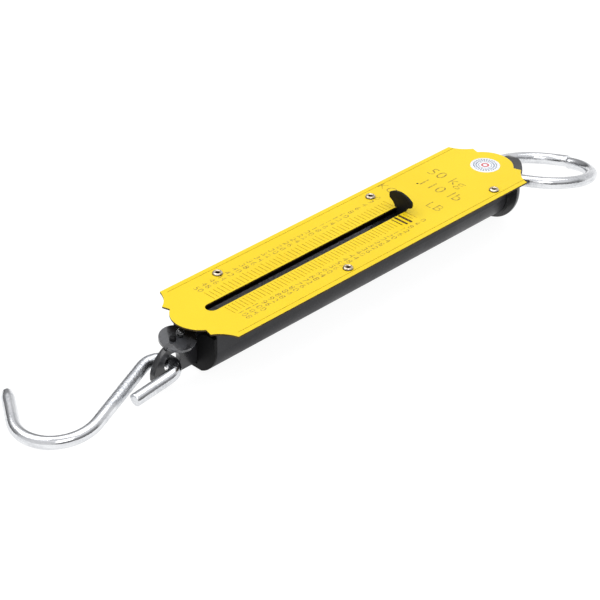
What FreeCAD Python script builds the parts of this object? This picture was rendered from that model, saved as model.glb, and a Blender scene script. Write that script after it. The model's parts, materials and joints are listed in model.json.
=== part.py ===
import FreeCAD, Part
import math
import os

# Mechanical spring balance (straight dial): a flanged U-channel housing behind a
# slotted face plate, an extension spring, a flat draw bar with a hook, and a ring.
# Millimetres. X runs along the scale towards the suspension ring, Z runs out of the
# face plate, and the origin is the middle of the flat on the housing's back.

V = FreeCAD.Vector

# Face plate
PLATE_TOP = 26.2           # height of the plate's face over the housing's back
PLATE_T = 1.0
PLATE_HALF_W = 25.0
PLATE_CORNER_X = 96.5      # where the straight long edges end
COVE_MID = (99.2, 19.6)    # middle of the concave corner
STEP_OUT = (103.9, 15.4)   # outer corner of the small step
STEP_IN = (102.8, 11.5)    # inner corner of the small step
PLATE_APEX_X = 108.8       # tip of the round tongue
SLOT_LOW_X = -91.7
SLOT_HIGH_X = 35.2
SLOT_HALF_W = 3.0

# Housing channel
WALL = 1.2
HOUSING_R = 13.1           # outside radius of the back and half the outside width
ROUND_Z = 12.3             # height of the centre of the round back
CHANNEL_LOW_X = -98.0
CHANNEL_HIGH_X = 101.1
CHANNEL_NECK_X = 96.5      # from here the channel is drawn in to take the upper cap
CHANNEL_NECK_R = 12.6
CHANNEL_NECK_FLOOR = 0.5
FLANGE_HALF_W = 22.5
FLANGE_HALF_L = 89.0

# End caps
LOW_CAP_T = 1.6
LOW_CAP_TOP = 20.2
LOW_CAP_SLOT_HALF_W = 1.9
LOW_CAP_SLOT_FLOOR = 2.4
LOW_CAP_MOUTH_HALF_W = 7.2
LOW_CAP_MOUTH_DEPTH = 6.0
EAR_T = 1.0
EAR_L = 8.0
HIGH_CAP_R = 18.5
HIGH_CAP_Z = 15.9          # height of the cap's own axis
HIGH_CAP_LOW_X = 98.0
HIGH_CAP_END_X = 102.9
HIGH_CAP_END_T = 1.6
HIGH_CAP_ROUND = 4.2       # rounding of the cap's outer edge
COLLAR_R = 13.8
COLLAR_FLOOR = -0.7
COLLAR_LOW_X = 96.7

# Spring, its plugs and their pins, all on one axis
SPRING_Z = 12.4
SPRING_WIRE = 2.7
SPRING_MEAN_R = 9.45
SPRING_PITCH = 2.76
SPIGOT_R = 8.0
SPIGOT_L = 11.0
PLUG_R = 10.2
LOW_PLUG_X = 24.0          # back of the lower plug's flange
LOW_PLUG_L = 12.0
HIGH_PLUG_X = 84.0         # front of the upper plug's flange
HIGH_PLUG_L = 17.3
PIN_R = 1.5
PIN_HALF_L = 8.6

# Draw bar with its eye, and the stop disc on its upper edge
BAR_HALF_T = 1.5
BAR_LOW_Z = 3.1
BAR_HIGH_Z = 18.3
BAR_INNER_X = 31.8
BAR_END_X = -124.1
BAR_ROUND_FROM_X = -113.4   # the upper edge starts to fall away here
BAR_ROUND_MID = (-119.6, 14.9)
BAR_ROUND_END_Z = 7.2
BAR_LOW_CORNER_R = 1.2
EYE_AT = (-113.6, 9.5)
EYE_R = 4.7
DISC_X = -109.3
DISC_R = 8.3
DISC_T = 1.2
DISC_RIVET_X = -107.4
DISC_RIVET_R = 1.0
DISC_RIVET_BALL_R = 1.95
DISC_RIVET_BALL_Z = 21.3
DISC_PIN_X = -111.8
DISC_PIN_R = 1.0
DISC_PIN_HEAD_R = 1.5
DISC_PIN_HEAD_H = 1.9
DISC_SHANK_DEPTH = 3.2

# Pointer
POINTER_X = 33.5
POINTER_HALF_T = 0.6
POINTER_STEM_HALF_W = 2.0
POINTER_STEM_FOOT = 19.6
POINTER_PIN_R = 0.75

# Hanger bar with its eye, at the ring's end
HANGER_HALF_T = 1.5
HANGER_NECK_HALF_H = 8.0
HANGER_HEAD_R = 11.8
HANGER_EYE_X = 111.5
HANGER_EYE_R = 6.2
HANGER_SHOULDER_X = 103.1
HANGER_SHOULDER_R = 2.4

# Suspension ring: one turn of round wire, its ends butted
RING_R = 24.9
RING_WIRE_R = 3.0
RING_AT = (112.0, -3.6, 14.0)   # nearest point of the wire's centre line
RING_TILT = 11.5                # degrees, outer side down
RING_ROLL = -8.5                # degrees about the ring's own length
RING_GAP_AT = 3.5               # degrees from the outer end towards +Y
RING_GAP = 0.8                  # degrees of opening

# Load hook: one round wire
HOOK_WIRE_R = 3.0
HOOK_AT = (-114.45, 0.4, 9.9)    # where the wire crosses the draw bar's eye
HOOK_DROP = 6.6                 # degrees, bowl end down
HOOK_LOOP_R = 7.4
HOOK_LOOP_Y = -1.3
HOOK_RETURN_L = 19.5
HOOK_SHANK_SLOPE = 19.4         # degrees between shank and hook's length
HOOK_SHANK_L = 39.8
HOOK_BOWL_R = 19.1
HOOK_BOWL_SWEEP = 142.5
HOOK_TIP_L = 13.6
HOOK_TAPER_L = 4.0
HOOK_TIP_R = 2.2

# Fasteners of the face plate, and the label
EYELETS = ((-68.0, 18.2), (-23.0, -19.3), (31.6, 17.7), (79.0, -19.0))
EYELET_SHANK_R = 1.7
EYELET_BORE_R = 1.05
EYELET_HEAD_R = 2.45
EYELET_HEAD_H = 1.1
EYELET_HEAD_ROUND = 0.8
EYELET_ROLL_H = 0.6
LABEL_X = 95.0
LABEL_R = 7.3
LABEL_T = 0.15

PLATE_UNDER = PLATE_TOP - PLATE_T
FLANGE_UNDER = PLATE_UNDER - WALL


def wire_of(points, arcs=()):
    """Closed wire through points; an index in arcs starts a three-point arc."""
    edges = []
    i = 0
    count = len(points)
    while i < count:
        here = points[i]
        if i in arcs:
            mid = points[i + 1]
            there = points[(i + 2) % count]
            edges.append(Part.Arc(here, mid, there).toShape())
            i += 2
        else:
            there = points[(i + 1) % count]
            edges.append(Part.LineSegment(here, there).toShape())
            i += 1
    return Part.Wire(edges)


def plate_shape(points, arcs, direction):
    """Flat shape with the given outline, made solid along direction."""
    return Part.Face(wire_of(points, arcs)).extrude(direction)


def cylinder(radius, length, start, direction):
    return Part.makeCylinder(radius, length, V(*start), V(*direction))


def u_solid(radius, floor, top, low_x, high_x):
    """Solid with upright sides and a round back that ends in a narrow flat."""
    half_flat = math.sqrt(radius ** 2 - (ROUND_Z - floor) ** 2)
    diagonal = radius * math.sqrt(0.5)
    points = [
        V(low_x, radius, top),
        V(low_x, radius, ROUND_Z),
        V(low_x, diagonal, ROUND_Z - diagonal),
        V(low_x, half_flat, floor),
        V(low_x, -half_flat, floor),
        V(low_x, -diagonal, ROUND_Z - diagonal),
        V(low_x, -radius, ROUND_Z),
        V(low_x, -radius, top),
    ]
    return plate_shape(points, (1, 4), V(high_x - low_x, 0, 0))


def face_plate_outline(z):
    """Outline with a cove, a small step and a round tongue at each end."""
    quarter = [
        (PLATE_CORNER_X, PLATE_HALF_W),
        COVE_MID,
        STEP_OUT,
        STEP_IN,
        (PLATE_APEX_X, 0),
    ]
    right = quarter + [(x, -y) for x, y in reversed(quarter[:4])]
    left = [(-x, -y) for x, y in right]
    points = [V(x, y, z) for x, y in right + left]
    return points, (0, 3, 6, 9, 12, 15)


def make_face_plate():
    points, arcs = face_plate_outline(PLATE_UNDER)
    plate = plate_shape(points, arcs, V(0, 0, PLATE_T))
    low = SLOT_LOW_X + SLOT_HALF_W
    high = SLOT_HIGH_X - SLOT_HALF_W
    slot = Part.makeBox(high - low, 2 * SLOT_HALF_W, PLATE_T, V(low, -SLOT_HALF_W, PLATE_UNDER))
    for x in (low, high):
        slot = slot.fuse(cylinder(SLOT_HALF_W, PLATE_T, (x, 0, PLATE_UNDER), (0, 0, 1)))
    plate = plate.cut(slot)
    for x, y in EYELETS:
        plate = plate.cut(cylinder(EYELET_SHANK_R, PLATE_T, (x, y, PLATE_UNDER), (0, 0, 1)))
    return plate


def channel_length(wall, low_x, high_x, neck):
    """One length of the channel's U section, or of its drawn-in neck."""
    radius, floor = (CHANNEL_NECK_R, CHANNEL_NECK_FLOOR) if neck else (HOUSING_R, 0)
    return u_solid(radius - wall, floor + wall, PLATE_UNDER, low_x, high_x)


def make_housing_channel():
    channel = channel_length(0, CHANNEL_LOW_X, CHANNEL_NECK_X, False)
    channel = channel.fuse(channel_length(0, CHANNEL_NECK_X, CHANNEL_HIGH_X, True))
    shoulder_x = CHANNEL_NECK_X - WALL
    channel = channel.cut(channel_length(WALL, CHANNEL_LOW_X, shoulder_x, False))
    channel = channel.cut(channel_length(WALL, shoulder_x, CHANNEL_HIGH_X, True))
    for side in (-1, 1):
        low_y = min(side * (HOUSING_R - WALL), side * FLANGE_HALF_W)
        width = FLANGE_HALF_W - HOUSING_R + WALL
        flange = Part.makeBox(2 * FLANGE_HALF_L, width, WALL, V(-FLANGE_HALF_L, low_y, FLANGE_UNDER))
        channel = channel.fuse(flange)
    channel = channel.removeSplitter()
    for x, y in EYELETS:
        channel = channel.cut(cylinder(EYELET_SHANK_R, WALL, (x, y, FLANGE_UNDER), (0, 0, 1)))
    return channel


def make_bottom_end_cap():
    """Flat plate with an open slot for the draw bar, and two ears inside the walls."""
    low_x = CHANNEL_LOW_X - LOW_CAP_T
    cap = u_solid(HOUSING_R, 0, LOW_CAP_TOP, low_x, CHANNEL_LOW_X)
    neck_z = LOW_CAP_TOP - LOW_CAP_MOUTH_DEPTH
    bend = 0.35
    points = []
    for side in (1, -1):
        mouth = V(low_x, side * LOW_CAP_MOUTH_HALF_W, LOW_CAP_TOP)
        middle_y = LOW_CAP_SLOT_HALF_W + bend * (LOW_CAP_MOUTH_HALF_W - LOW_CAP_SLOT_HALF_W)
        middle = V(low_x, side * middle_y, LOW_CAP_TOP - bend * LOW_CAP_MOUTH_DEPTH)
        neck = V(low_x, side * LOW_CAP_SLOT_HALF_W, neck_z)
        floor = V(low_x, side * LOW_CAP_SLOT_HALF_W, LOW_CAP_SLOT_FLOOR)
        group = [mouth, middle, neck, floor]
        points += group if side > 0 else group[::-1]
    cap = cap.cut(plate_shape(points, (0, 5), V(LOW_CAP_T, 0, 0)))
    for side in (-1, 1):
        outer_y = side * (HOUSING_R - WALL)
        low_y = min(outer_y, outer_y - side * EAR_T)
        cap = cap.fuse(Part.makeBox(EAR_L + 0.8, EAR_T, 5.0, V(CHANNEL_LOW_X - 0.8, low_y, 15.0)))
    return cap.removeSplitter()


def make_top_end_cap():
    """Domed cap with a narrow collar, pressed on the channel's neck and slotted for the hanger."""
    length = HIGH_CAP_END_X - HIGH_CAP_LOW_X
    cap = cylinder(HIGH_CAP_R, length, (HIGH_CAP_LOW_X, 0, HIGH_CAP_Z), (1, 0, 0))
    outer_rim = [e for e in cap.Edges if abs(e.BoundBox.XMin - HIGH_CAP_END_X) < 0.01]
    cap = cap.makeFillet(HIGH_CAP_ROUND, outer_rim)
    wide = 2 * HIGH_CAP_R
    above = Part.makeBox(wide, 2 * wide, wide, V(HIGH_CAP_LOW_X - 1, -wide, PLATE_UNDER))
    cap = cap.cut(above)
    cap = cap.fuse(u_solid(COLLAR_R, COLLAR_FLOOR, PLATE_UNDER, COLLAR_LOW_X, HIGH_CAP_LOW_X))
    inside_x = HIGH_CAP_END_X - HIGH_CAP_END_T
    cap = cap.removeSplitter().cut(channel_length(0, COLLAR_LOW_X, inside_x, True))
    half_h = HANGER_NECK_HALF_H + 0.1
    half_w = HANGER_HALF_T + 0.1
    slot = Part.makeBox(HIGH_CAP_END_T, 2 * half_w, 2 * half_h, V(inside_x, -half_w, SPRING_Z - half_h))
    return cap.cut(slot)


def make_hanger_bar():
    """Flat bar on edge: a round head with an eye, and a neck pinned to the upper plug."""
    low_x = HIGH_PLUG_X + 2.2
    head = cylinder(HANGER_HEAD_R, 2 * HANGER_HALF_T, (HANGER_EYE_X, -HANGER_HALF_T, SPRING_Z), (0, 1, 0))
    shoulder = Part.makeBox(
        HANGER_EYE_X - HANGER_SHOULDER_X, 2 * HANGER_HALF_T, 2 * HANGER_HEAD_R,
        V(HANGER_SHOULDER_X, -HANGER_HALF_T, SPRING_Z - HANGER_HEAD_R))
    upright = [e for e in shoulder.Edges if abs(e.CenterOfMass.x - HANGER_SHOULDER_X) < 1e-6
               and abs(e.CenterOfMass.y) < 1e-6]
    shoulder = shoulder.makeFillet(HANGER_SHOULDER_R, upright)
    neck = Part.makeBox(
        HANGER_EYE_X - low_x, 2 * HANGER_HALF_T, 2 * HANGER_NECK_HALF_H,
        V(low_x, -HANGER_HALF_T, SPRING_Z - HANGER_NECK_HALF_H))
    bar = head.fuse([shoulder, neck]).removeSplitter()
    eye = cylinder(HANGER_EYE_R, 2 * HANGER_HALF_T, (HANGER_EYE_X, -HANGER_HALF_T, SPRING_Z), (0, 1, 0))
    return bar.cut(eye).cut(cross_pin(hanger_pin_x()))


def hanger_pin_x():
    return HIGH_PLUG_X + HIGH_PLUG_L / 2


def cross_pin(x):
    return cylinder(PIN_R, 2 * PIN_HALF_L, (x, -PIN_HALF_L, SPRING_Z), (0, 1, 0))


def make_upper_spring_plug():
    """Flange against the upper cap, and a spigot that the spring's end sits on."""
    plug = cylinder(PLUG_R, HIGH_PLUG_L, (HIGH_PLUG_X, 0, SPRING_Z), (1, 0, 0))
    plug = plug.fuse(cylinder(SPIGOT_R, SPIGOT_L, (HIGH_PLUG_X - SPIGOT_L, 0, SPRING_Z), (1, 0, 0)))
    low_x = HIGH_PLUG_X + 2.0
    half_h = HANGER_NECK_HALF_H + 0.1
    half_w = HANGER_HALF_T + 0.05
    saw_cut = Part.makeBox(HIGH_PLUG_L, 2 * half_w, 2 * half_h, V(low_x, -half_w, SPRING_Z - half_h))
    return plug.cut(saw_cut).cut(cross_pin(hanger_pin_x()))


def make_lower_spring_plug():
    """Guide that slides in the housing and joins the spring, draw bar and pointer."""
    high_x = LOW_PLUG_X + LOW_PLUG_L
    plug = cylinder(PLUG_R, LOW_PLUG_L, (LOW_PLUG_X, 0, SPRING_Z), (1, 0, 0))
    plug = plug.fuse(cylinder(SPIGOT_R, SPIGOT_L, (high_x, 0, SPRING_Z), (1, 0, 0)))
    half_w = BAR_HALF_T + 0.05
    bar_cut = Part.makeBox(
        BAR_INNER_X + 0.2 - LOW_PLUG_X, 2 * half_w, BAR_HIGH_Z + 0.1 - BAR_LOW_Z + 0.1,
        V(LOW_PLUG_X, -half_w, BAR_LOW_Z - 0.1))
    pointer_cut = Part.makeBox(
        2 * POINTER_HALF_T, 2 * PLUG_R, PLUG_R,
        V(POINTER_X - POINTER_HALF_T, -PLUG_R, POINTER_STEM_FOOT))
    plug = plug.cut(bar_cut).cut(pointer_cut)
    return plug.cut(cross_pin(draw_bar_pin_x())).cut(make_pointer_pin())


def draw_bar_pin_x():
    return LOW_PLUG_X + 4.0


def make_main_spring():
    """Close-wound extension spring between the two plugs."""
    low_x = LOW_PLUG_X + LOW_PLUG_L + SPRING_WIRE / 2 + 0.1
    high_x = HIGH_PLUG_X - SPRING_WIRE / 2 - 0.1
    helix = Part.makeHelix(SPRING_PITCH, high_x - low_x, SPRING_MEAN_R)
    lead = V(0, SPRING_MEAN_R * 2 * math.pi, SPRING_PITCH)
    profile = Part.Wire(Part.makeCircle(SPRING_WIRE / 2, V(SPRING_MEAN_R, 0, 0), lead))
    coil = Part.Wire(helix).makePipeShell([profile], True, True)
    coil.rotate(V(0, 0, 0), V(0, 1, 0), 90)
    coil.translate(V(low_x, 0, SPRING_Z))
    return coil


def make_draw_bar():
    """Flat bar on edge, with an eye for the hook in its rounded-off outer end."""
    corner = BAR_LOW_CORNER_R
    corner_mid = corner * (1 - math.sqrt(0.5))
    outline = [
        (BAR_INNER_X, BAR_LOW_Z),
        (BAR_INNER_X, BAR_HIGH_Z),
        (BAR_ROUND_FROM_X, BAR_HIGH_Z),
        BAR_ROUND_MID,
        (BAR_END_X, BAR_ROUND_END_Z),
        (BAR_END_X, BAR_LOW_Z + corner),
        (BAR_END_X + corner_mid, BAR_LOW_Z + corner_mid),
        (BAR_END_X + corner, BAR_LOW_Z),
    ]
    points = [V(x, -BAR_HALF_T, z) for x, z in outline]
    bar = plate_shape(points, (2, 5), V(0, 2 * BAR_HALF_T, 0))
    eye = cylinder(EYE_R, 2 * BAR_HALF_T, (EYE_AT[0], -BAR_HALF_T, EYE_AT[1]), (0, 1, 0))
    bar = bar.cut(eye).cut(cross_pin(draw_bar_pin_x()))
    return bar.cut(disc_shank(DISC_RIVET_X, DISC_RIVET_R)).cut(disc_shank(DISC_PIN_X, DISC_PIN_R))


def disc_shank(x, radius):
    """Shank that runs through the stop disc and into the draw bar's upper edge."""
    start = (x, 0, BAR_HIGH_Z - DISC_SHANK_DEPTH)
    return cylinder(radius, DISC_SHANK_DEPTH + DISC_T, start, (0, 0, 1))


def make_stop_disc():
    """Round disc on the draw bar's upper edge, clear of the lower cap."""
    disc = cylinder(DISC_R, DISC_T, (DISC_X, 0, BAR_HIGH_Z), (0, 0, 1))
    disc = disc.cut(disc_shank(DISC_RIVET_X, DISC_RIVET_R))
    return disc.cut(disc_shank(DISC_PIN_X, DISC_PIN_R))


def make_stop_disc_rivet():
    """Ball-headed rivet that holds the disc down."""
    top = BAR_HIGH_Z + DISC_T
    neck = cylinder(DISC_RIVET_R, DISC_RIVET_BALL_Z - top, (DISC_RIVET_X, 0, top), (0, 0, 1))
    ball = Part.makeSphere(DISC_RIVET_BALL_R, V(DISC_RIVET_X, 0, DISC_RIVET_BALL_Z))
    above = Part.makeBox(6, 6, 6, V(DISC_RIVET_X - 3, -3, top))
    shank = disc_shank(DISC_RIVET_X, DISC_RIVET_R)
    return shank.fuse([neck, ball.common(above)]).removeSplitter()


def make_stop_disc_pin():
    """Headed pin beside the ball rivet, which keeps the disc from turning."""
    start = (DISC_PIN_X, 0, BAR_HIGH_Z + DISC_T)
    head = cylinder(DISC_PIN_HEAD_R, DISC_PIN_HEAD_H, start, (0, 0, 1))
    return disc_shank(DISC_PIN_X, DISC_PIN_R).fuse(head).removeSplitter()


def make_pointer():
    """Upright axe-shaped head over the slot, on a stem that reaches down to the plug."""
    low_x = POINTER_X - POINTER_HALF_T
    half = [
        (0.0, PLATE_TOP + 8.7),
        (5.0, PLATE_TOP + 7.3),
        (7.7, PLATE_TOP + 4.2),
        (7.0, PLATE_TOP + 3.0),
        (4.3, PLATE_TOP + 1.6),
        (POINTER_STEM_HALF_W, PLATE_TOP - 0.2),
        (POINTER_STEM_HALF_W, POINTER_STEM_FOOT),
    ]
    other = [(-y, z) for y, z in reversed(half[1:])]
    points = [V(low_x, y, z) for y, z in half + other]
    return plate_shape(points, (0, 3, 8, 11), V(2 * POINTER_HALF_T, 0, 0)).cut(make_pointer_pin())


def make_pointer_pin():
    z = (POINTER_STEM_FOOT + SPRING_Z + PLUG_R) / 2
    return cylinder(POINTER_PIN_R, 4.0, (POINTER_X - 2.0, 0, z), (1, 0, 0))


def wire_bend(radius, bend_r, centre, start_deg, sweep_deg):
    """Round wire bent in the XY plane about centre, from one angle through a sweep."""
    begin = math.radians(start_deg)
    place = V(centre[0] + bend_r * math.cos(begin), centre[1] + bend_r * math.sin(begin), 0)
    along = V(-math.sin(begin), math.cos(begin), 0)
    disc = Part.Face(Part.Wire(Part.makeCircle(radius, place, along)))
    return disc.revolve(V(centre[0], centre[1], 0), V(0, 0, 1), sweep_deg)


def make_load_hook():
    """Wire hook: return leg, loop through the draw bar's eye, shank, bowl and tip."""
    slope = math.radians(HOOK_SHANK_SLOPE)
    down = V(-math.cos(slope), -math.sin(slope), 0)
    side = V(-math.sin(slope), math.cos(slope), 0)
    loop = V(-HOOK_LOOP_R, HOOK_LOOP_Y, 0)
    shank_top = loop + side * HOOK_LOOP_R
    shank_foot = shank_top + down * HOOK_SHANK_L
    bowl = shank_foot + side * HOOK_BOWL_R
    tip_deg = HOOK_SHANK_SLOPE - 90 - HOOK_BOWL_SWEEP
    tip_way = V(math.sin(math.radians(tip_deg)), -math.cos(math.radians(tip_deg)), 0)
    tip_root = bowl + V(math.cos(math.radians(tip_deg)), math.sin(math.radians(tip_deg)), 0) * HOOK_BOWL_R
    taper_root = tip_root + tip_way * HOOK_TIP_L
    return_root = loop + V(0, -HOOK_LOOP_R, 0)
    pieces = [
        Part.makeCylinder(HOOK_WIRE_R, HOOK_RETURN_L, return_root, V(-1, 0, 0)),
        wire_bend(HOOK_WIRE_R, HOOK_LOOP_R, loop, -90, 180 + HOOK_SHANK_SLOPE),
        Part.makeCylinder(HOOK_WIRE_R, HOOK_SHANK_L, shank_top, down),
        wire_bend(HOOK_WIRE_R, HOOK_BOWL_R, bowl, HOOK_SHANK_SLOPE - 90, -HOOK_BOWL_SWEEP),
        Part.makeCylinder(HOOK_WIRE_R, HOOK_TIP_L, tip_root, tip_way),
        Part.makeCone(HOOK_WIRE_R, HOOK_TIP_R, HOOK_TAPER_L, taper_root, tip_way),
        Part.makeSphere(HOOK_TIP_R, taper_root + tip_way * HOOK_TAPER_L),
    ]
    hook = pieces[0].fuse(pieces[1:]).removeSplitter()
    hook.rotate(V(0, 0, 0), V(0, 1, 0), -HOOK_DROP)
    hook.translate(V(*HOOK_AT))
    return hook


def make_suspension_ring():
    """Ring of round wire whose two ends meet at a butt joint."""
    ring = wire_bend(RING_WIRE_R, RING_R, (0, 0), RING_GAP_AT + RING_GAP / 2, 360 - RING_GAP)
    ring.rotate(V(0, 0, 0), V(1, 0, 0), RING_ROLL)
    ring.translate(V(RING_R, 0, 0))
    ring.rotate(V(0, 0, 0), V(0, 1, 0), RING_TILT)
    ring.translate(V(*RING_AT))
    return ring


def make_face_eyelets():
    """Four tubular rivets that clamp the face plate to the channel's flanges."""
    eyelets = []
    for x, y in EYELETS:
        grip = PLATE_T + WALL
        shank = cylinder(EYELET_SHANK_R, grip, (x, y, FLANGE_UNDER), (0, 0, 1))
        head = cylinder(EYELET_HEAD_R, EYELET_HEAD_H, (x, y, PLATE_TOP), (0, 0, 1))
        head = head.makeFillet(EYELET_HEAD_ROUND, [head.Edges[0]])
        roll_foot = (x, y, FLANGE_UNDER - EYELET_ROLL_H)
        roll = cylinder(EYELET_HEAD_R - 0.2, EYELET_ROLL_H, roll_foot, (0, 0, 1))
        bore = cylinder(EYELET_BORE_R, EYELET_ROLL_H + grip + EYELET_HEAD_H, roll_foot, (0, 0, 1))
        eyelets.append(shank.fuse([head, roll]).removeSplitter().cut(bore))
    return Part.makeCompound(eyelets)


def make_inspection_label():
    return cylinder(LABEL_R, LABEL_T, (LABEL_X, 0, PLATE_TOP), (0, 0, 1))


NODES = {
    "face_plate": make_face_plate,
    "housing_channel": make_housing_channel,
    "bottom_end_cap": make_bottom_end_cap,
    "top_end_cap": make_top_end_cap,
    "face_eyelets": make_face_eyelets,
    "inspection_label": make_inspection_label,
    "hanger_bar": make_hanger_bar,
    "hanger_pin": lambda: cross_pin(hanger_pin_x()),
    "upper_spring_plug": make_upper_spring_plug,
    "main_spring": make_main_spring,
    "lower_spring_plug": make_lower_spring_plug,
    "draw_bar": make_draw_bar,
    "draw_bar_pin": lambda: cross_pin(draw_bar_pin_x()),
    "stop_disc": make_stop_disc,
    "stop_disc_rivet": make_stop_disc_rivet,
    "stop_disc_pin": make_stop_disc_pin,
    "pointer": make_pointer,
    "pointer_pin": make_pointer_pin,
    "load_hook": make_load_hook,
    "suspension_ring": make_suspension_ring,
}

os.makedirs("parts", exist_ok=True)
for name, maker in NODES.items():
    shape = maker()
    box = shape.BoundBox
    print(name, "solids", len(shape.Solids), "valid", shape.isValid(), "volume", round(shape.Volume, 1),
          "x", round(box.XMin, 1), round(box.XMax, 1), "y", round(box.YMin, 1), round(box.YMax, 1),
          "z", round(box.ZMin, 1), round(box.ZMax, 1))
    shape.exportStep("parts/" + name + ".step")
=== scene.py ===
import json
import math

import bmesh
import bpy
from mathutils import Matrix, Vector

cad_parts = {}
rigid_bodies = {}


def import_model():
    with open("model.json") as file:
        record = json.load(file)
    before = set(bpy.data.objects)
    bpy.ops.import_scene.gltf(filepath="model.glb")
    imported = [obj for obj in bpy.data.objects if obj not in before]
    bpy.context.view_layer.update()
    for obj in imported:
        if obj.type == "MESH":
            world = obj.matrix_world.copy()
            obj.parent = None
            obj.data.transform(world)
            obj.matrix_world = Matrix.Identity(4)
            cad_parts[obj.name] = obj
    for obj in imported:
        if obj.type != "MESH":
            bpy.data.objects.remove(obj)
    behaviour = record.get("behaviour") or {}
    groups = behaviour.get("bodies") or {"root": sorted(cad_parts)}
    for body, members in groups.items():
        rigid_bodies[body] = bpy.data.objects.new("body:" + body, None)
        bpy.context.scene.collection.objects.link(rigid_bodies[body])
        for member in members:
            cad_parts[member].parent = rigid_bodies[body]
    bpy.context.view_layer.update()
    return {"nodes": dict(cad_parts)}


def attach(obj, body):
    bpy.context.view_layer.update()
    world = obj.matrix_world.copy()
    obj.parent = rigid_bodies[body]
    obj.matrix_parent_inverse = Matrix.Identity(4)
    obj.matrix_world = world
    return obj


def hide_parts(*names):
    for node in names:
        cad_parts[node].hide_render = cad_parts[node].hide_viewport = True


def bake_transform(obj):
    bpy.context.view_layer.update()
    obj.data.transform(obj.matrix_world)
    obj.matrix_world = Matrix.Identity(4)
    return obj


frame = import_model()
NODES = frame["nodes"]
MM = 0.001

# Sizes in millimetres, in the row frame
PLATE_TOP = 26.2
PLATE_UNDER = 25.2
PLATE_QUARTER = ((96.5, 25.0), (99.2, 19.6), (103.9, 15.4), (102.8, 11.5), (108.8, 0.0))
SLOT_LOW_X, SLOT_HIGH_X, SLOT_HALF_W = -91.7, 35.2, 3.0
EYELETS = ((-68.0, 18.2), (-23.0, -19.3), (31.6, 17.7), (79.0, -19.0))
EYELET_SHANK_R = 1.7
LABEL_X, LABEL_R = 95.0, 7.3
LABEL_RINGS = ((3.2, 0.22), (4.4, 0.38), (5.6, 0.34))   # radius and half the line's width
RED_RING = (1.55, 0.42)

# Rows of marks: zero's X, full load's X, marks, a mark's value, figures' step in value, side of the slot
KG_ROW = (33.0, -83.2, 50, 1, 2, 1)
LB_ROW = (33.0, -84.8, 55, 2, 4, -1)
MARK_DEPTH = 0.2
MARK_W, MARK_FROM_Y, MARK_TO_Y = 0.34, 4.0, 10.0
LONG_MARK_EVERY, LONG_MARK_TO_Y = 5, 10.8
BORDER_X, BORDER_Y = (-94.5, 99.5), (22.25, 22.5)

# Painted reflection of the raised pointer: dark strokes cut beside the pound row's zero (X, from, to,
# width), where the row has no marks
POINTER_REFLECTION_STROKES = ((28.3, 3.3, 11.8, 1.5), (25.4, 3.3, 11.6, 1.3), (23.0, 3.6, 10.6, 0.6))
POINTER_REFLECTION_X = (21.5, 30.0)
PIT_AT, PIT_R = (57.5, 10.9), 0.55

# Figures, and the words in larger letters (text, X, Y, height)
FIGURE_Y, FIGURE_H = 14.4, 3.2
FIGURE_SUNK, FIGURE_HALF_T = 0.022, 0.03
WORDS = (("KG", 43.4, 17.8, 5.0), ("LB", 46.6, -9.6, 5.6),
         ("50 kg", 71.6, 4.4, 6.6), ("110 lb", 60.6, -1.0, 6.6))
WORDS_THINNED = 0.014      # share of the height taken off each side of a stroke

# Hook: from HOOK_AT, in its own plane, which is then tipped down by HOOK_DROP degrees. HOOK_AT is 0.25 mm
# nearer the housing than in the CAD, so that the softened bends clear the draw bar's eye.
HOOK_AT = (-114.2, 0.4, 9.9)
HOOK_DROP = 6.6
HOOK_WIRE_R = 3.0
HOOK_RETURN_L = 19.5
HOOK_LOOP_R, HOOK_LOOP_Y = 7.4, -1.3
HOOK_SLOPE, HOOK_SHANK_L = 19.4, 39.8
HOOK_BOWL_R, HOOK_BOWL_SWEEP = 19.1, 142.5
HOOK_TIP_L, HOOK_TIP_THINNED = 19.0, 0.6
WIRE_STEP = 0.8            # between the points of the hook's path
FROSTED_X, FROSTED_REACH, FROSTED_Y = -139.0, (16.0, 30.0), (-7.0, -4.5)   # on the shank, fading out
RING_AT = (112.0, -3.6, 14.0)
RING_TILT, RING_ROLL = 11.5, -8.5
RING_R, RING_WIRE_R = 24.9, 3.0
RING_GAP_AT, RING_GAP = 3.5, 0.8
RING_END_POINTS = 14       # points beside the joint over which the ends drift apart

SPRING_Z, SPRING_MEAN_R, SPRING_WIRE_R, SPRING_PITCH = 12.4, 9.45, 1.35, 2.76
SPRING_LOW_X, SPRING_HIGH_X = 37.45, 82.55

BAR_TOP = 18.3
DISC_X, DISC_R, DISC_T = -109.3, 8.3, 1.2
DISC_TILT, DISC_LIFT = 11.0, 0.25
DISC_HOLE_R = 1.15
DISC_RIVET_X, DISC_PIN_X = -107.4, -111.8
DISC_SHANK_R, DISC_SHANK_DEPTH = 1.0, 3.1
BALL_R, BALL_UP = 1.95, 1.8
POINTER_X, POINTER_HALF_T, POINTER_TURN = 33.5, 0.6, 4.5

# Inside of the channel, painted pale grey for the light that falls through the slot: within this half width
# and above this height; painted shadow, black again, near the plate
INSIDE_HALF_W, INSIDE_FLOOR_Z = 12.45, 9.0
SHADOW_FROM_Z, SHADOW_TO_Z = 15.0, 15.6

# Camera: focal length for a 600-pixel picture, place in metres, and its right and forward ways
CAMERA_PIXELS, CAMERA_SENSOR = 2034.77, 36.0
CAMERA_AT = (-0.59626, -0.54479, 0.50451)
CAMERA_RIGHT = (0.70168, -0.71236, 0.01336)
CAMERA_AHEAD = (0.60576, 0.58660, -0.53756)
FLOOR_HALF, FLOOR_Z = 6.0, -0.00266   # metres


# ---------------------------------------------------------------- materials

def set_stops(ramp, stops):
    """Gives a colour ramp its stops of (position, colour)."""
    while len(ramp.elements) < len(stops):
        ramp.elements.new(0.5)
    for element, (at, colour) in zip(ramp.elements, stops):
        element.position = at
        element.color = (*colour, 1)


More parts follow.
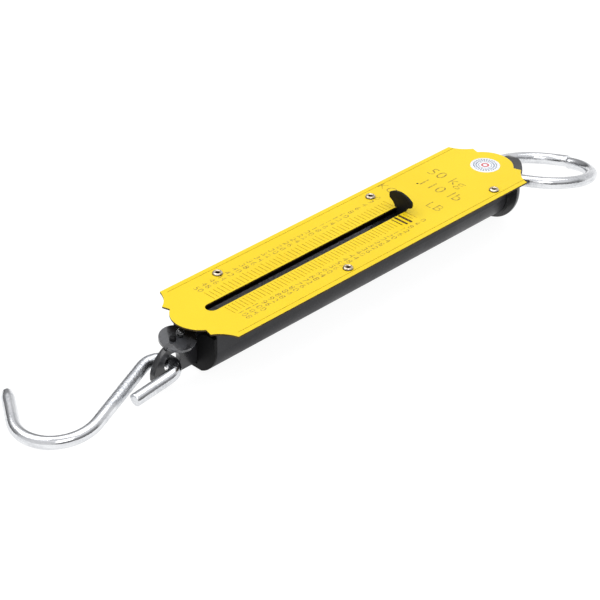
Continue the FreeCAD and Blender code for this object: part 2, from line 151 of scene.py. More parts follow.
class Shader:
    """A Principled material and the few node shapes used here."""

    def __init__(self, name, **values):
        self.mat = bpy.data.materials.new(name)
        self.mat.use_nodes = True
        self.tree = self.mat.node_tree
        self.bsdf = self.tree.nodes["Principled BSDF"]
        for key, value in values.items():
            self.bsdf.inputs[key.replace("_", " ")].default_value = value
        coords = self.tree.nodes.new("ShaderNodeTexCoord")
        self.place = coords.outputs["Object"]
        self.uv = coords.outputs["UV"]

    def node(self, kind, links=(), **settings):
        """New node; settings name its unlinked inputs or its own properties."""
        made = self.tree.nodes.new("ShaderNode" + kind)
        for key, value in settings.items():
            if key in made.inputs:
                made.inputs[key].default_value = value
            else:
                setattr(made, key, value)
        for key, source in dict(links).items():
            self.tree.links.new(source, made.inputs[key])
        return made

    def stretched(self, source, scale, turn=(0, 0, 0)):
        made = self.node("Mapping", {"Vector": source}, Scale=scale, Rotation=turn)
        return made.outputs["Vector"]

    def noise(self, vector, scale, detail=3.0, rough=0.55):
        made = self.node("TexNoise", {"Vector": vector}, Scale=scale, Detail=detail, Roughness=rough)
        return made.outputs["Fac"]

    def ramp(self, fac, *stops):
        made = self.node("ValToRGB", {"Fac": fac})
        set_stops(made.color_ramp, stops)
        return made.outputs["Color"]

    def spread(self, fac, low, high, start=0.3, end=0.7):
        """Maps start..end onto low..high."""
        made = self.node("MapRange", {"Value": fac})
        made.inputs["From Min"].default_value = start
        made.inputs["From Max"].default_value = end
        made.inputs["To Min"].default_value = low
        made.inputs["To Max"].default_value = high
        return made.outputs["Result"]

    def math(self, operation, a, b=None, value=0.5):
        made = self.node("Math", {}, operation=operation)
        self.tree.links.new(a, made.inputs[0])
        if b is None:
            made.inputs[1].default_value = value
        else:
            self.tree.links.new(b, made.inputs[1])
        return made.outputs["Value"]

    def mix(self, fac, a, b):
        """Colour mix of two outputs or constant colours."""
        made = self.tree.nodes.new("ShaderNodeMix")
        made.data_type = "RGBA"
        self.tree.links.new(fac, made.inputs["Factor"])
        for key, value in (("A", a), ("B", b)):
            socket = [s for s in made.inputs if s.name == key and s.type == "RGBA"][0]
            if isinstance(value, tuple):
                socket.default_value = (*value, 1)
            else:
                self.tree.links.new(value, socket)
        return [s for s in made.outputs if s.type == "RGBA"][0]

    def feed(self, name, source):
        self.tree.links.new(source, self.bsdf.inputs[name])

    def bump(self, height, distance, strength=1.0):
        made = self.node("Bump", {"Height": height}, Distance=distance, Strength=strength)
        self.feed("Normal", made.outputs["Normal"])


def yellow_lacquer():
    s = Shader("yellow_lacquer", Coat_Weight=0.12, Coat_Roughness=0.2, Specular_IOR_Level=0.3)
    cloudy = s.noise(s.place, 22.0, 2.0)
    fine = s.noise(s.place, 1600.0, 2.0)
    base = s.ramp(cloudy, (0.3, (0.79, 0.565, 0.008)), (0.7, (0.83, 0.620, 0.013)))
    grain = s.ramp(fine, (0.35, (0.75, 0.52, 0.006)), (0.65, (0.85, 0.640, 0.016)))
    weight = s.node("Value")
    weight.outputs[0].default_value = 0.25
    s.feed("Base Color", s.mix(weight.outputs[0], base, grain))
    scratch = s.noise(s.stretched(s.place, (30, 2200, 400), (0, 0, 0.5)), 1.0, 2.0)
    s.feed("Roughness", s.spread(scratch, 0.30, 0.42, 0.35, 0.7))
    s.bump(fine, 0.00003)
    return s.mat


def dark_plate_sides():
    """Dark cut edges and underside of the face plate."""
    s = Shader("dark_plate_sides", Roughness=0.6, Specular_IOR_Level=0.2)
    patchy = s.noise(s.place, 300.0, 2.0)
    s.feed("Base Color", s.ramp(patchy, (0.4, (0.030, 0.018, 0.006)), (0.6, (0.075, 0.048, 0.012))))
    return s.mat


def stamped_mark():
    s = Shader("stamped_mark", Roughness=0.55)
    # Darker brown floor of the cut marks: partly grime, partly painted shade in the cuts
    patchy = s.noise(s.place, 420.0, 3.0, 0.7)
    s.feed("Base Color", s.ramp(patchy, (0.38, (0.46, 0.29, 0.012)), (0.62, (0.76, 0.53, 0.012))))
    return s.mat


def stamped_figure():
    s = Shader("stamped_figure", Roughness=0.55)
    patchy = s.noise(s.place, 900.0, 2.0, 0.7)
    s.feed("Base Color", s.ramp(patchy, (0.42, (0.25, 0.15, 0.010)), (0.60, (0.68, 0.475, 0.012))))
    return s.mat


def pointer_reflection_and_pit():
    # Dark brown of the pointer's painted reflection beside the pound row's zero, and of the pit
    s = Shader("pointer_reflection_and_pit", Roughness=0.5)
    patchy = s.noise(s.place, 700.0, 3.0, 0.7)
    s.feed("Base Color", s.ramp(patchy, (0.45, (0.050, 0.024, 0.005)), (0.72, (0.26, 0.14, 0.015))))
    return s.mat


def black_enamel(name, base, low, high, coat=0.0, specular=0.5):
    """Black paint with a little dust; low and high are the limits of its roughness."""
    s = Shader(name, Coat_Weight=coat, Coat_Roughness=0.06, Specular_IOR_Level=specular)
    cloudy = s.noise(s.place, 60.0, 3.0)
    fine = s.noise(s.place, 1300.0, 2.0)
    dust = s.ramp(fine, (0.60, (base, base, base * 1.12)), (0.78, (base * 2.6, base * 2.6, base * 2.9)))
    s.feed("Base Color", dust)
    s.feed("Roughness", s.spread(cloudy, low, high))
    s.bump(s.noise(s.place, 500.0, 2.0), 0.00004)
    return s


def housing_enamel():
    """Black enamel outside; inside the channel a grey stands for light from the slot, with painted shadow
    near the plate.
    """
    s = black_enamel("housing_enamel", 0.022, 0.40, 0.55, specular=0.28)
    split = s.node("SeparateXYZ", {"Vector": s.place})
    across = s.math("ABSOLUTE", split.outputs["Y"])
    inside = s.math("MULTIPLY", s.math("LESS_THAN", across, value=INSIDE_HALF_W * MM),
                    s.math("GREATER_THAN", split.outputs["Z"], value=INSIDE_FLOOR_Z * MM))
    # Painted light: the inside is lighter and bluer towards the ring end
    along = s.spread(split.outputs["X"], 0.0, 1.0, -0.03, 0.03)
    cloudy = s.noise(s.place, 90.0, 2.0)
    grey = s.mix(along, (0.60, 0.60, 0.62), (0.90, 0.91, 0.98))
    grey = s.mix(s.spread(cloudy, 0.0, 0.25), grey, (0.30, 0.30, 0.31))
    # Painted shadow under the plate: black above this height
    plate_shadow = s.spread(split.outputs["Z"], 0.0, 1.0, SHADOW_FROM_Z * MM, SHADOW_TO_Z * MM)
    grey = s.mix(plate_shadow, grey, (0.006, 0.005, 0.005))
    coated = s.bsdf.inputs["Base Color"].links[0].from_socket
    s.feed("Base Color", s.mix(inside, coated, grey))
    return s.mat


def disc_paint():
    s = Shader("disc_paint", Coat_Weight=1.0, Coat_Roughness=0.05, Roughness=0.25)
    # Dark and lighter clouds in the colour: painted reflections on the glossy disc
    cloudy = s.noise(s.place, 130.0, 3.0, 0.6)
    s.feed("Base Color", s.ramp(cloudy, (0.42, (0.010, 0.010, 0.012)), (0.58, (0.055, 0.057, 0.063))))
    s.bump(s.noise(s.place, 700.0, 2.0), 0.00004)
    return s.mat


def rim_highlight():
    # Painted highlight: bright grey in patches on the disc's rounded rim
    s = Shader("rim_highlight", Roughness=0.35)
    patchy = s.noise(s.place, 520.0, 3.0, 0.6)
    s.feed("Base Color", s.ramp(patchy, (0.46, (0.05, 0.05, 0.055)), (0.58, (0.48, 0.48, 0.50))))
    return s.mat


def bright_zinc():
    """Plated wire with drawing lines, cloudy patches, and a frosted stretch on the hook's shank."""
    s = Shader("bright_zinc", Metallic=1.0)
    drawn = s.noise(s.stretched(s.uv, (0.09, 14.0, 1.0)), 1.0, 4.0, 0.6)
    frost = s.noise(s.place, 950.0, 3.0, 0.7)
    cloudy = s.noise(s.place, 90.0, 2.0)
    split = s.node("SeparateXYZ", {"Vector": s.place})
    from_shank = s.math("ABSOLUTE", s.math("ADD", split.outputs["X"], value=-FROSTED_X * MM))
    near = s.spread(from_shank, 0.72, 0.0, FROSTED_REACH[0] * MM, FROSTED_REACH[1] * MM)
    above = s.spread(split.outputs["Y"], 0.0, 1.0, FROSTED_Y[0] * MM, FROSTED_Y[1] * MM)
    rubbed = s.math("MULTIPLY", near, above)
    patch = s.math("MAXIMUM", s.spread(cloudy, 0.10, 0.45, 0.40, 0.62), rubbed)
    both = s.math("MULTIPLY", s.spread(frost, 0.0, 1.0, 0.32, 0.62), patch)
    tint = s.ramp(drawn, (0.30, (0.66, 0.67, 0.69)), (0.62, (0.82, 0.83, 0.845)))
    s.feed("Base Color", s.mix(both, tint, (0.30, 0.32, 0.35)))
    s.feed("Roughness", s.spread(both, 0.12, 0.34, 0.1, 0.8))
    s.bump(s.math("ADD", drawn, both), 0.00007, 0.9)
    return s.mat


def plain_steel():
    s = Shader("plain_steel", Metallic=1.0)
    turned = s.noise(s.stretched(s.place, (2600, 60, 60)), 1.0, 3.0)
    s.feed("Base Color", s.ramp(turned, (0.3, (0.30, 0.30, 0.31)), (0.7, (0.52, 0.52, 0.53))))
    s.feed("Roughness", s.spread(turned, 0.28, 0.45))
    s.bump(turned, 0.00005)
    return s.mat


def spring_steel():
    s = Shader("spring_steel", Metallic=1.0)
    drawn = s.noise(s.stretched(s.uv, (0.05, 10.0, 1.0)), 1.0, 3.0)
    s.feed("Base Color", s.ramp(drawn, (0.3, (0.10, 0.10, 0.11)), (0.7, (0.24, 0.24, 0.25))))
    s.feed("Roughness", s.spread(drawn, 0.25, 0.42))
    s.bump(drawn, 0.00004)
    return s.mat


def eyelet_metal():
    """Worn metal, with painted contact shadow where the heads meet the plate."""
    s = Shader("eyelet_metal", Metallic=1.0)
    worn = s.noise(s.place, 900.0, 3.0, 0.6)
    height = s.node("SeparateXYZ", {"Vector": s.place}).outputs["Z"]
    # Painted contact shadow: dark brown below this height on each head
    out_of_shadow = s.spread(height, 0.0, 1.0, (PLATE_TOP + 0.25) * MM, (PLATE_TOP + 0.6) * MM)
    metal = s.ramp(worn, (0.35, (0.42, 0.33, 0.22)), (0.62, (0.82, 0.73, 0.58)))
    s.feed("Base Color", s.mix(out_of_shadow, (0.05, 0.03, 0.01), metal))
    s.feed("Roughness", s.spread(worn, 0.38, 0.22))
    s.bump(worn, 0.00007)
    return s.mat


def printed_label():
    """White film with thin broken rings and a small red ring in the middle."""
    s = Shader("printed_label", Roughness=0.32, Coat_Weight=0.3)
    centre = s.node("Mapping", {"Vector": s.place}, Location=(-LABEL_X, 0, 0), Scale=(1000, 1000, 0))
    away = s.node("VectorMath", {"Vector": centre.outputs["Vector"]}, operation="LENGTH").outputs["Value"]
    split = s.node("SeparateXYZ", {"Vector": centre.outputs["Vector"]})
    turn = s.math("ARCTAN2", split.outputs["Y"], split.outputs["X"])
    white, blue, red = (0.80, 0.83, 0.86), (0.105, 0.14, 0.23), (0.60, 0.06, 0.07)
    clear, ink = (0.0, 0.0, 0.0), (1.0, 1.0, 1.0)
    stops = [(0.0, clear)]
    for ring, half in LABEL_RINGS:
        stops += [((ring - half) / 10, ink), ((ring + half) / 10, clear)]
    rings = s.node("ValToRGB", {"Fac": s.math("MULTIPLY", away, value=0.1)})
    rings.color_ramp.interpolation = "CONSTANT"
    set_stops(rings.color_ramp, stops)
    dashes = s.math("GREATER_THAN", s.math("SINE", s.math("MULTIPLY", turn, value=26.0)), value=-0.35)
    inked = s.math("MULTIPLY", rings.outputs["Color"], dashes)
    base = s.mix(inked, white, blue)
    from_red_ring = s.math("ABSOLUTE", s.math("SUBTRACT", away, value=RED_RING[0]))
    red_ring = s.math("LESS_THAN", from_red_ring, value=RED_RING[1])
    s.feed("Base Color", s.mix(red_ring, base, red))
    return s.mat


YELLOW = yellow_lacquer()
EDGE = dark_plate_sides()
MARK = stamped_mark()
FIGURE = stamped_figure()
REFLECTION_AND_PIT = pointer_reflection_and_pit()
HOUSING = housing_enamel()
CAP = black_enamel("cap_enamel", 0.010, 0.25, 0.4, coat=0.25).mat
# Painted shade: the hook end's cap is a darker, duller copy of the cap enamel
SHADED_CAP = black_enamel("shaded_cap_enamel", 0.003, 0.45, 0.6, specular=0.12).mat
DARK = black_enamel("black_metal", 0.018, 0.22, 0.38, coat=0.3).mat
MATTE = black_enamel("pointer_black", 0.006, 0.5, 0.65, specular=0.15).mat
BALL = black_enamel("ball_enamel", 0.010, 0.12, 0.2, coat=1.0).mat
DISC = disc_paint()
RIM_HIGHLIGHT = rim_highlight()
ZINC = bright_zinc()
STEEL = plain_steel()
SPRING = spring_steel()
EYELET_METAL = eyelet_metal()
LABEL = printed_label()


# ---------------------------------------------------------------- mesh tools

class Build:
    """Collects vertices and faces in millimetres, then makes one object in metres."""

    def __init__(self):
        self.verts = []
        self.faces = []
        self.uvs = []

    def rings(self, rings, lengths, closed):
        """Faces between rings of points, and caps on an open row; lengths gives each ring's u."""
        first = len(self.verts)
        sides = len(rings[0])
        for ring in rings:
            self.verts += ring
        spans = len(rings) if closed else len(rings) - 1
        for i in range(spans):
            j = (i + 1) % len(rings)
            for k in range(sides):
                m = (k + 1) % sides
                self.faces.append([first + i * sides + k, first + i * sides + m,
                                   first + j * sides + m, first + j * sides + k])
                ua = lengths[i]
                ub = lengths[j] if j else ua + 1
                self.uvs.append([(ua, k / sides), (ua, (k + 1) / sides),
                                 (ub, (k + 1) / sides), (ub, k / sides)])
        if not closed:
            ends = (list(range(first, first + sides))[::-1],
                    list(range(first + (len(rings) - 1) * sides, first + len(rings) * sides)))
            for end in ends:
                self.faces.append(end)
                self.uvs.append([(0.5, 0.5)] * len(end))

    def sweep(self, path, radii, sides=28, closed=False):
        """Round wire along path, with a radius at every point."""
        path = [Vector(p) for p in path]
        count = len(path)
        ways = []
        for i in range(count):
            ahead = path[(i + 1) % count] if closed or i + 1 < count else path[i]
            back = path[i - 1] if closed or i else path[i]
            ways.append((ahead - back).normalized())
        normal = ways[0].orthogonal().normalized()
        rings, lengths, run = [], [], 0.0
        for i, (point, way) in enumerate(zip(path, ways)):
            normal = (normal - way * normal.dot(way)).normalized()
            across = way.cross(normal)
            ring = []
            for k in range(sides):
                a = 2 * math.pi * k / sides
                ring.append(point + (normal * math.cos(a) + across * math.sin(a)) * radii[i])
            if i:
                run += (point - path[i - 1]).length
            rings.append(ring)
            lengths.append(run)
        self.rings(rings, lengths, closed)

    def lathe(self, profile, centre, sides=40, closed=False):
        """Profile of (radius, height) turned about an upright line through centre."""
        rings = []
        for radius, height in profile:
            rings.append([Vector((centre[0] + radius * math.cos(2 * math.pi * k / sides),
                                  centre[1] + radius * math.sin(2 * math.pi * k / sides),
                                  height)) for k in range(sides)])
        self.rings(rings, range(len(rings)), closed)

    def object(self, name, material, angle=40):
        mesh = bpy.data.meshes.new(name)
        mesh.from_pydata([Vector(v) * MM for v in self.verts], [], self.faces)
        layer = mesh.uv_layers.new(name="UVMap")
        flat = [uv for face in self.uvs for uv in face]
        for loop, uv in zip(layer.data, flat):
            loop.uv = uv
        bm = bmesh.new()
        bm.from_mesh(mesh)
        bmesh.ops.recalc_face_normals(bm, faces=bm.faces)
        bm.to_mesh(mesh)
        bm.free()
        return finish_mesh(mesh, name, [material], angle)


def finish_mesh(mesh, name, materials, angle=40):
    """Object from a mesh, with its materials and smooth faces up to the angle."""
    mesh.materials.clear()
    for material in materials:
        mesh.materials.append(material)
    mesh.shade_smooth()
    mesh.set_sharp_from_angle(angle=math.radians(angle))
    obj = bpy.data.objects.new(name, mesh)
    bpy.context.scene.collection.objects.link(obj)
    return obj


def soften_edges(obj, width, segments, angle=50, material=-1):
    soft = obj.modifiers.new("soft_edges", "BEVEL")
    soft.width = width * MM
    soft.segments = segments
    soft.material = material
    soft.limit_method = "ANGLE"
    soft.angle_limit = math.radians(angle)


def arc_points(start, mid, end, count):
    """Points on the circle through three points, the first of them left out."""
    (ax, ay), (bx, by), (cx, cy) = start, mid, end
    d = 2 * (ax * (by - cy) + bx * (cy - ay) + cx * (ay - by))
    a2, b2, c2 = ax * ax + ay * ay, bx * bx + by * by, cx * cx + cy * cy
    ux = (a2 * (by - cy) + b2 * (cy - ay) + c2 * (ay - by)) / d
    uy = (a2 * (cx - bx) + b2 * (ax - cx) + c2 * (bx - ax)) / d
    radius = math.hypot(ax - ux, ay - uy)
    angle = [math.atan2(y - uy, x - ux) for x, y in (start, mid, end)]
    turn = (angle[2] - angle[0]) % (2 * math.pi)
    if (angle[1] - angle[0]) % (2 * math.pi) > turn:
        turn -= 2 * math.pi
    return [(ux + radius * math.cos(angle[0] + turn * i / count),
             uy + radius * math.sin(angle[0] + turn * i / count)) for i in range(1, count + 1)]


def circle(x, y, radius, count=28):
    return [(x + radius * math.cos(2 * math.pi * i / count),
             y + radius * math.sin(2 * math.pi * i / count)) for i in range(count)]


def flat_curve(name, loops, low, high):
    """2-D filled curve from loops of points, from one height to another."""
    data = bpy.data.curves.new(name, "CURVE")
    data.dimensions = "2D"
    data.fill_mode = "BOTH"
    data.extrude = (high - low) / 2 * MM
    for loop in loops:
        add_loop(data, loop)
    obj = bpy.data.objects.new(name, data)
    obj.location = (0, 0, (low + high) / 2 * MM)
    bpy.context.scene.collection.objects.link(obj)
    return obj


def add_loop(data, loop):
    spline = data.splines.new("POLY")
    spline.points.add(len(loop) - 1)
    for point, (x, y) in zip(spline.points, loop):
        point.co = (x * MM, y * MM, 0, 1)
    spline.use_cyclic_u = True


def curve_mesh(obj):
    """Closed mesh of a flat curve, in the row frame; the curve is removed."""
    bpy.context.view_layer.update()
    mesh = bpy.data.meshes.new_from_object(obj.evaluated_get(bpy.context.evaluated_depsgraph_get()))
    mesh.transform(obj.matrix_world)
    bpy.data.objects.remove(obj)
    bm = bmesh.new()
    bm.from_mesh(mesh)
    bmesh.ops.remove_doubles(bm, verts=bm.verts, dist=1e-7)
    bmesh.ops.recalc_face_normals(bm, faces=bm.faces)
    bm.to_mesh(mesh)
    bm.free()
    return mesh


def cad(name, material, bevel=0.0):
    """Gives a CAD node its material, and softens its edges a little."""
    obj = NODES[name]
    for slot in obj.material_slots:
        slot.material = material
    if bevel:
        weld = obj.modifiers.new("weld", "WELD")
        weld.merge_threshold = 1e-6
        soften_edges(obj, bevel, 2, 40)


# ---------------------------------------------------------------- face plate

def plate_outline():
    """The ring end's outline, and the same turned half round for the hook end."""
    corner, cove, step_out, step_in, apex = PLATE_QUARTER
    below = [(x, -y) for x, y in PLATE_QUARTER]
    right = [corner] + arc_points(corner, cove, step_out, 10) + [step_in]
    right += arc_points(step_in, apex, below[3], 28) + [below[2]]
    right += arc_points(below[2], below[1], below[0], 10)
    return right + [(-x, -y) for x, y in right]


def slot_outline():
    low, high = SLOT_LOW_X + SLOT_HALF_W, SLOT_HIGH_X - SLOT_HALF_W
    r = SLOT_HALF_W
    left = arc_points((low, r), (low - r, 0), (low, -r), 14)
    right = arc_points((high, -r), (high + r, 0), (high, r), 14)
    return [(low, r)] + left + [(high, -r)] + right


def bar_mark(x, y_from, y_to, width):
    """Upright mark across the plate, with clipped corners."""
    low, high = sorted((y_from, y_to))
    h, c = width / 2, width / 5
    return [(x - h + c, low), (x + h - c, low), (x + h, low + c), (x + h, high - c),
            (x + h - c, high), (x - h + c, high), (x - h, high - c), (x - h, low + c)]


def figures(text, x, y, height, thinned=0.0):
    """Inked figures, level with the plate's face: tops point to +X, and they read towards -Y."""
    words = bpy.data.curves.new("figures", "FONT")
    words.body = text
    words.size = height / 0.7 * MM
    words.align_x = "CENTER"
    words.align_y = "CENTER"
    words.offset = -thinned * height * MM
    words.extrude = FIGURE_HALF_T * MM
    words.resolution_u = 3
    words.space_character = 1.1
    holder = bpy.data.objects.new("figures", words)
    place = Matrix.Translation((x * MM, y * MM, (PLATE_TOP - FIGURE_SUNK) * MM))
    holder.matrix_world = place @ Matrix.Rotation(-math.pi / 2, 4, "Z")
    bpy.context.scene.collection.objects.link(holder)
    return curve_mesh(holder)


def mark_loops():
    """The two rows of marks, and a border line along each side of the plate."""
    loops = []
    for zero, full, count, _, _, side in (KG_ROW, LB_ROW):
        for i in range(count + 1):
            x = zero + (full - zero) * i / count
            reach = MARK_TO_Y if i % LONG_MARK_EVERY else LONG_MARK_TO_Y
            if side < 0 and POINTER_REFLECTION_X[0] < x < POINTER_REFLECTION_X[1]:
                continue
            loops.append(bar_mark(x, side * MARK_FROM_Y, side * reach, MARK_W))
    (low, high), (inner, outer) = BORDER_X, BORDER_Y
    for side in (1, -1):
        loops.append([(low, side * inner), (high, side * inner), (high, side * outer), (low, side * outer)])
    return loops


def reflection_and_pit_loops():
    loops = [bar_mark(x, -start, -reach, width) for x, start, reach, width in POINTER_REFLECTION_STROKES]
    return loops + [circle(*PIT_AT, PIT_R, 12)]


def printed_figures():
    """Numbers along both rows, the rows' units, and the capacity in both units."""
    meshes = []
    for zero, full, count, value, figure_step, side in (KG_ROW, LB_ROW):
        for i in range(0, count + 1, figure_step // value):
            x = zero + (full - zero) * i / count
            meshes.append(figures(str(value * i), x, side * FIGURE_Y, FIGURE_H))
    return meshes + [figures(*word, WORDS_THINNED) for word in WORDS]


def engraved_plate():
    """Lacquered plate with its marks cut in, its figures laid on, and dark sides."""
    loops = [plate_outline(), slot_outline()]
    loops += [circle(x, y, EYELET_SHANK_R, 20) for x, y in EYELETS]
    blank = curve_mesh(flat_curve("blank", loops, PLATE_UNDER, PLATE_TOP))
    plate = finish_mesh(blank, "dial_plate", [YELLOW])
    soften_edges(plate, 0.12, 2)

    foot = PLATE_TOP - MARK_DEPTH
    marks = curve_mesh(flat_curve("marks", mark_loops(), foot, PLATE_TOP + 1))
    # The pointer's painted reflection and the pit are cut in with their own dark brown
    scribed = curve_mesh(flat_curve("scribed", reflection_and_pit_loops(), foot, PLATE_TOP + 1))
    for mesh, material in ((marks, MARK), (scribed, REFLECTION_AND_PIT)):
        cut = plate.modifiers.new("engrave", "BOOLEAN")
        cut.operation = "DIFFERENCE"
        cut.solver = "EXACT"
        cut.material_mode = "TRANSFER"
        cut.object = finish_mesh(mesh, "cutter", [material])
    bpy.context.view_layer.update()
    evaluated = plate.evaluated_get(bpy.context.evaluated_depsgraph_get())
    cut_mesh = bpy.data.meshes.new_from_object(evaluated)
    for tool in [o for o in bpy.data.objects if o.name.startswith("cutter")]:
        bpy.data.objects.remove(tool)
    bpy.data.objects.remove(plate)
    cut_mesh.materials.append(EDGE)
    cut_mesh.materials.append(FIGURE)
    edge_slot, figure_slot = len(cut_mesh.materials) - 2, len(cut_mesh.materials) - 1
    for face in cut_mesh.polygons:
        if face.center.z < (foot - 0.05) * MM:
            face.material_index = edge_slot
    bm = bmesh.new()
    bm.from_mesh(cut_mesh)
    for mesh in printed_figures():
        known = len(bm.faces)
        bm.from_mesh(mesh)
        bm.faces.ensure_lookup_table()
        for face in bm.faces[known:]:
            face.material_index = figure_slot
    bm.to_mesh(cut_mesh)
    bm.free()
    cut_mesh.shade_flat()
    done = bpy.data.objects.new("dial_plate_engraved", cut_mesh)
    bpy.context.scene.collection.objects.link(done)
    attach(done, "housing")
    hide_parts("face_plate")


# ---------------------------------------------------------------- wire parts

def softened(path, passes):
    """Evens out the bends of a path of evenly spaced points; its ends stay."""
    path = [Vector(p) for p in path]
    for _ in range(passes):
        inner = [(path[i - 1] + path[i] * 2 + path[i + 1]) / 4 for i in range(1, len(path) - 1)]
        path = [path[0]] + inner + [path[-1]]
    return path


def line_to(path, end):
    """Adds a straight run of points to the path."""
    start = path[-1]
    count = max(1, round((end - start).length / WIRE_STEP))
    path += [start.lerp(end, i / count) for i in range(1, count + 1)]


def bend_to(path, centre, degrees):
    """Adds an arc of points about the centre to the path."""
    start = path[-1] - centre
    count = max(2, round(abs(math.radians(degrees)) * start.length / WIRE_STEP))
    for i in range(1, count + 1):
        path.append(centre + Matrix.Rotation(math.radians(degrees) * i / count, 3, "Z") @ start)


def load_hook():
    """One wire: return leg, loop, shank, bowl and a tapered tip, with both ends rounded off."""
    slope = math.radians(HOOK_SLOPE)
    down = Vector((-math.cos(slope), -math.sin(slope), 0))
    side = Vector((-math.sin(slope), math.cos(slope), 0))
    loop = Vector((-HOOK_LOOP_R, HOOK_LOOP_Y, 0))
    path = [loop + Vector((-HOOK_RETURN_L, -HOOK_LOOP_R, 0))]
    line_to(path, loop + Vector((0, -HOOK_LOOP_R, 0)))
    bend_to(path, loop, 180 + HOOK_SLOPE)
    line_to(path, path[-1] + down * HOOK_SHANK_L)
    bowl = path[-1] + side * HOOK_BOWL_R
    bend_to(path, bowl, -HOOK_BOWL_SWEEP)
    tip_way = (path[-1] - path[-2]).normalized()
    line_to(path, path[-1] + tip_way * HOOK_TIP_L)
    path = softened(path, 5)
    radii = [HOOK_WIRE_R] * len(path)
    taper = 6
    for i in range(taper):
        share = i / (taper - 1)
        radii[len(path) - taper + i] = HOOK_WIRE_R - HOOK_TIP_THINNED * share ** 1.6
    tip, way, last = path[-1], (path[-1] - path[-2]).normalized(), radii[-1]
    for i in range(1, 9):
        turn = math.pi / 2 * i / 8.4
        path.append(tip + way * last * 0.9 * math.sin(turn))
        radii.append(last * math.cos(turn))
    first, back = path[0], (path[0] - path[1]).normalized()
    path = [first + back * d for d in (0.62, 0.60, 0.52, 0.32)] + path
    radii = [HOOK_WIRE_R * k for k in (0.55, 0.86, 0.95, 0.99)] + radii
    place = Matrix.Translation(HOOK_AT) @ Matrix.Rotation(math.radians(-HOOK_DROP), 4, "Y")
    wire = Build()
    wire.sweep([place @ p for p in path], radii, 32)
    hook = wire.object("load_hook_wire", ZINC)
    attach(hook, "hook")
    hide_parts("load_hook")


def suspension_ring():
    """Wire ring; its two ends sit slightly off each other at the joint."""
    start = RING_GAP_AT + RING_GAP / 2
    sweep = 360 - RING_GAP
    count = 200
    path = []
    for i in range(count + 1):
        a = math.radians(start + sweep * i / count)
        near_start = max(0.0, 1 - i / RING_END_POINTS)
        near_end = max(0.0, 1 - (count - i) / RING_END_POINTS)
        radius = RING_R + 0.35 * near_start ** 2 - 0.25 * near_end ** 2
        lift = 0.35 * near_start ** 2 - 0.35 * near_end ** 2
        path.append(Vector((radius * math.cos(a), radius * math.sin(a), lift)))
    place = Matrix.Translation(RING_AT) @ Matrix.Rotation(math.radians(RING_TILT), 4, "Y")
    place = place @ Matrix.Translation((RING_R, 0, 0)) @ Matrix.Rotation(math.radians(RING_ROLL), 4, "X")
    radii = [RING_WIRE_R] * len(path)
    radii[0] = radii[-1] = RING_WIRE_R * 0.93
    wire = Build()
    wire.sweep([place @ p for p in path], radii, 32)
    ring = wire.object("suspension_ring_wire", ZINC)
    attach(ring, "ring")
    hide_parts("suspension_ring")


def main_spring():
    per_turn = 28
    turns = (SPRING_HIGH_X - SPRING_LOW_X) / SPRING_PITCH
    count = round(turns * per_turn)
    path = []
    for i in range(count + 1):
        a = 2 * math.pi * turns * i / count
        x = SPRING_LOW_X + (SPRING_HIGH_X - SPRING_LOW_X) * i / count
        path.append((x, SPRING_MEAN_R * math.cos(a), SPRING_Z + SPRING_MEAN_R * math.sin(a)))
    wire = Build()
    wire.sweep(path, [SPRING_WIRE_R] * len(path), 12)
    coil = wire.object("main_spring_coil", SPRING)
    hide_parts("main_spring")
    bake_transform(coil)


# ---------------------------------------------------------------- small parts

def face_eyelets():
    """Tubular rivets: a domed head that turns down into the bore."""
    top = PLATE_TOP
    profile = [(1.03, 23.6), (1.03, top + 0.35), (1.10, top + 0.72), (1.30, top + 0.98), (1.62, top + 1.08),
               (1.98, top + 0.98), (2.28, top + 0.68), (2.44, top + 0.30), (2.45, top + 0.02), (1.69, top),
               (1.69, 23.95), (2.15, 23.93), (2.25, 23.7), (2.05, 23.45), (1.45, 23.42)]
    build = Build()
    for x, y in EYELETS:
        build.lathe(profile, (x, y), 36, closed=True)
    eyelets = build.object("face_eyelets_rolled", EYELET_METAL, 60)
    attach(eyelets, "housing")
    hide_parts("face_eyelets")


def inspection_label():
    """Thin round film on the plate."""
    top = PLATE_TOP
    build = Build()
    profile = [(0.05, top + 0.15), (LABEL_R * 0.5, top + 0.15), (LABEL_R - 0.12, top + 0.14),
               (LABEL_R, top + 0.08), (LABEL_R, top + 0.005)]
    build.lathe(profile, (LABEL_X, 0), 72)
    label = build.object("inspection_label_film", LABEL, 60)
    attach(label, "housing")
    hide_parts("inspection_label")


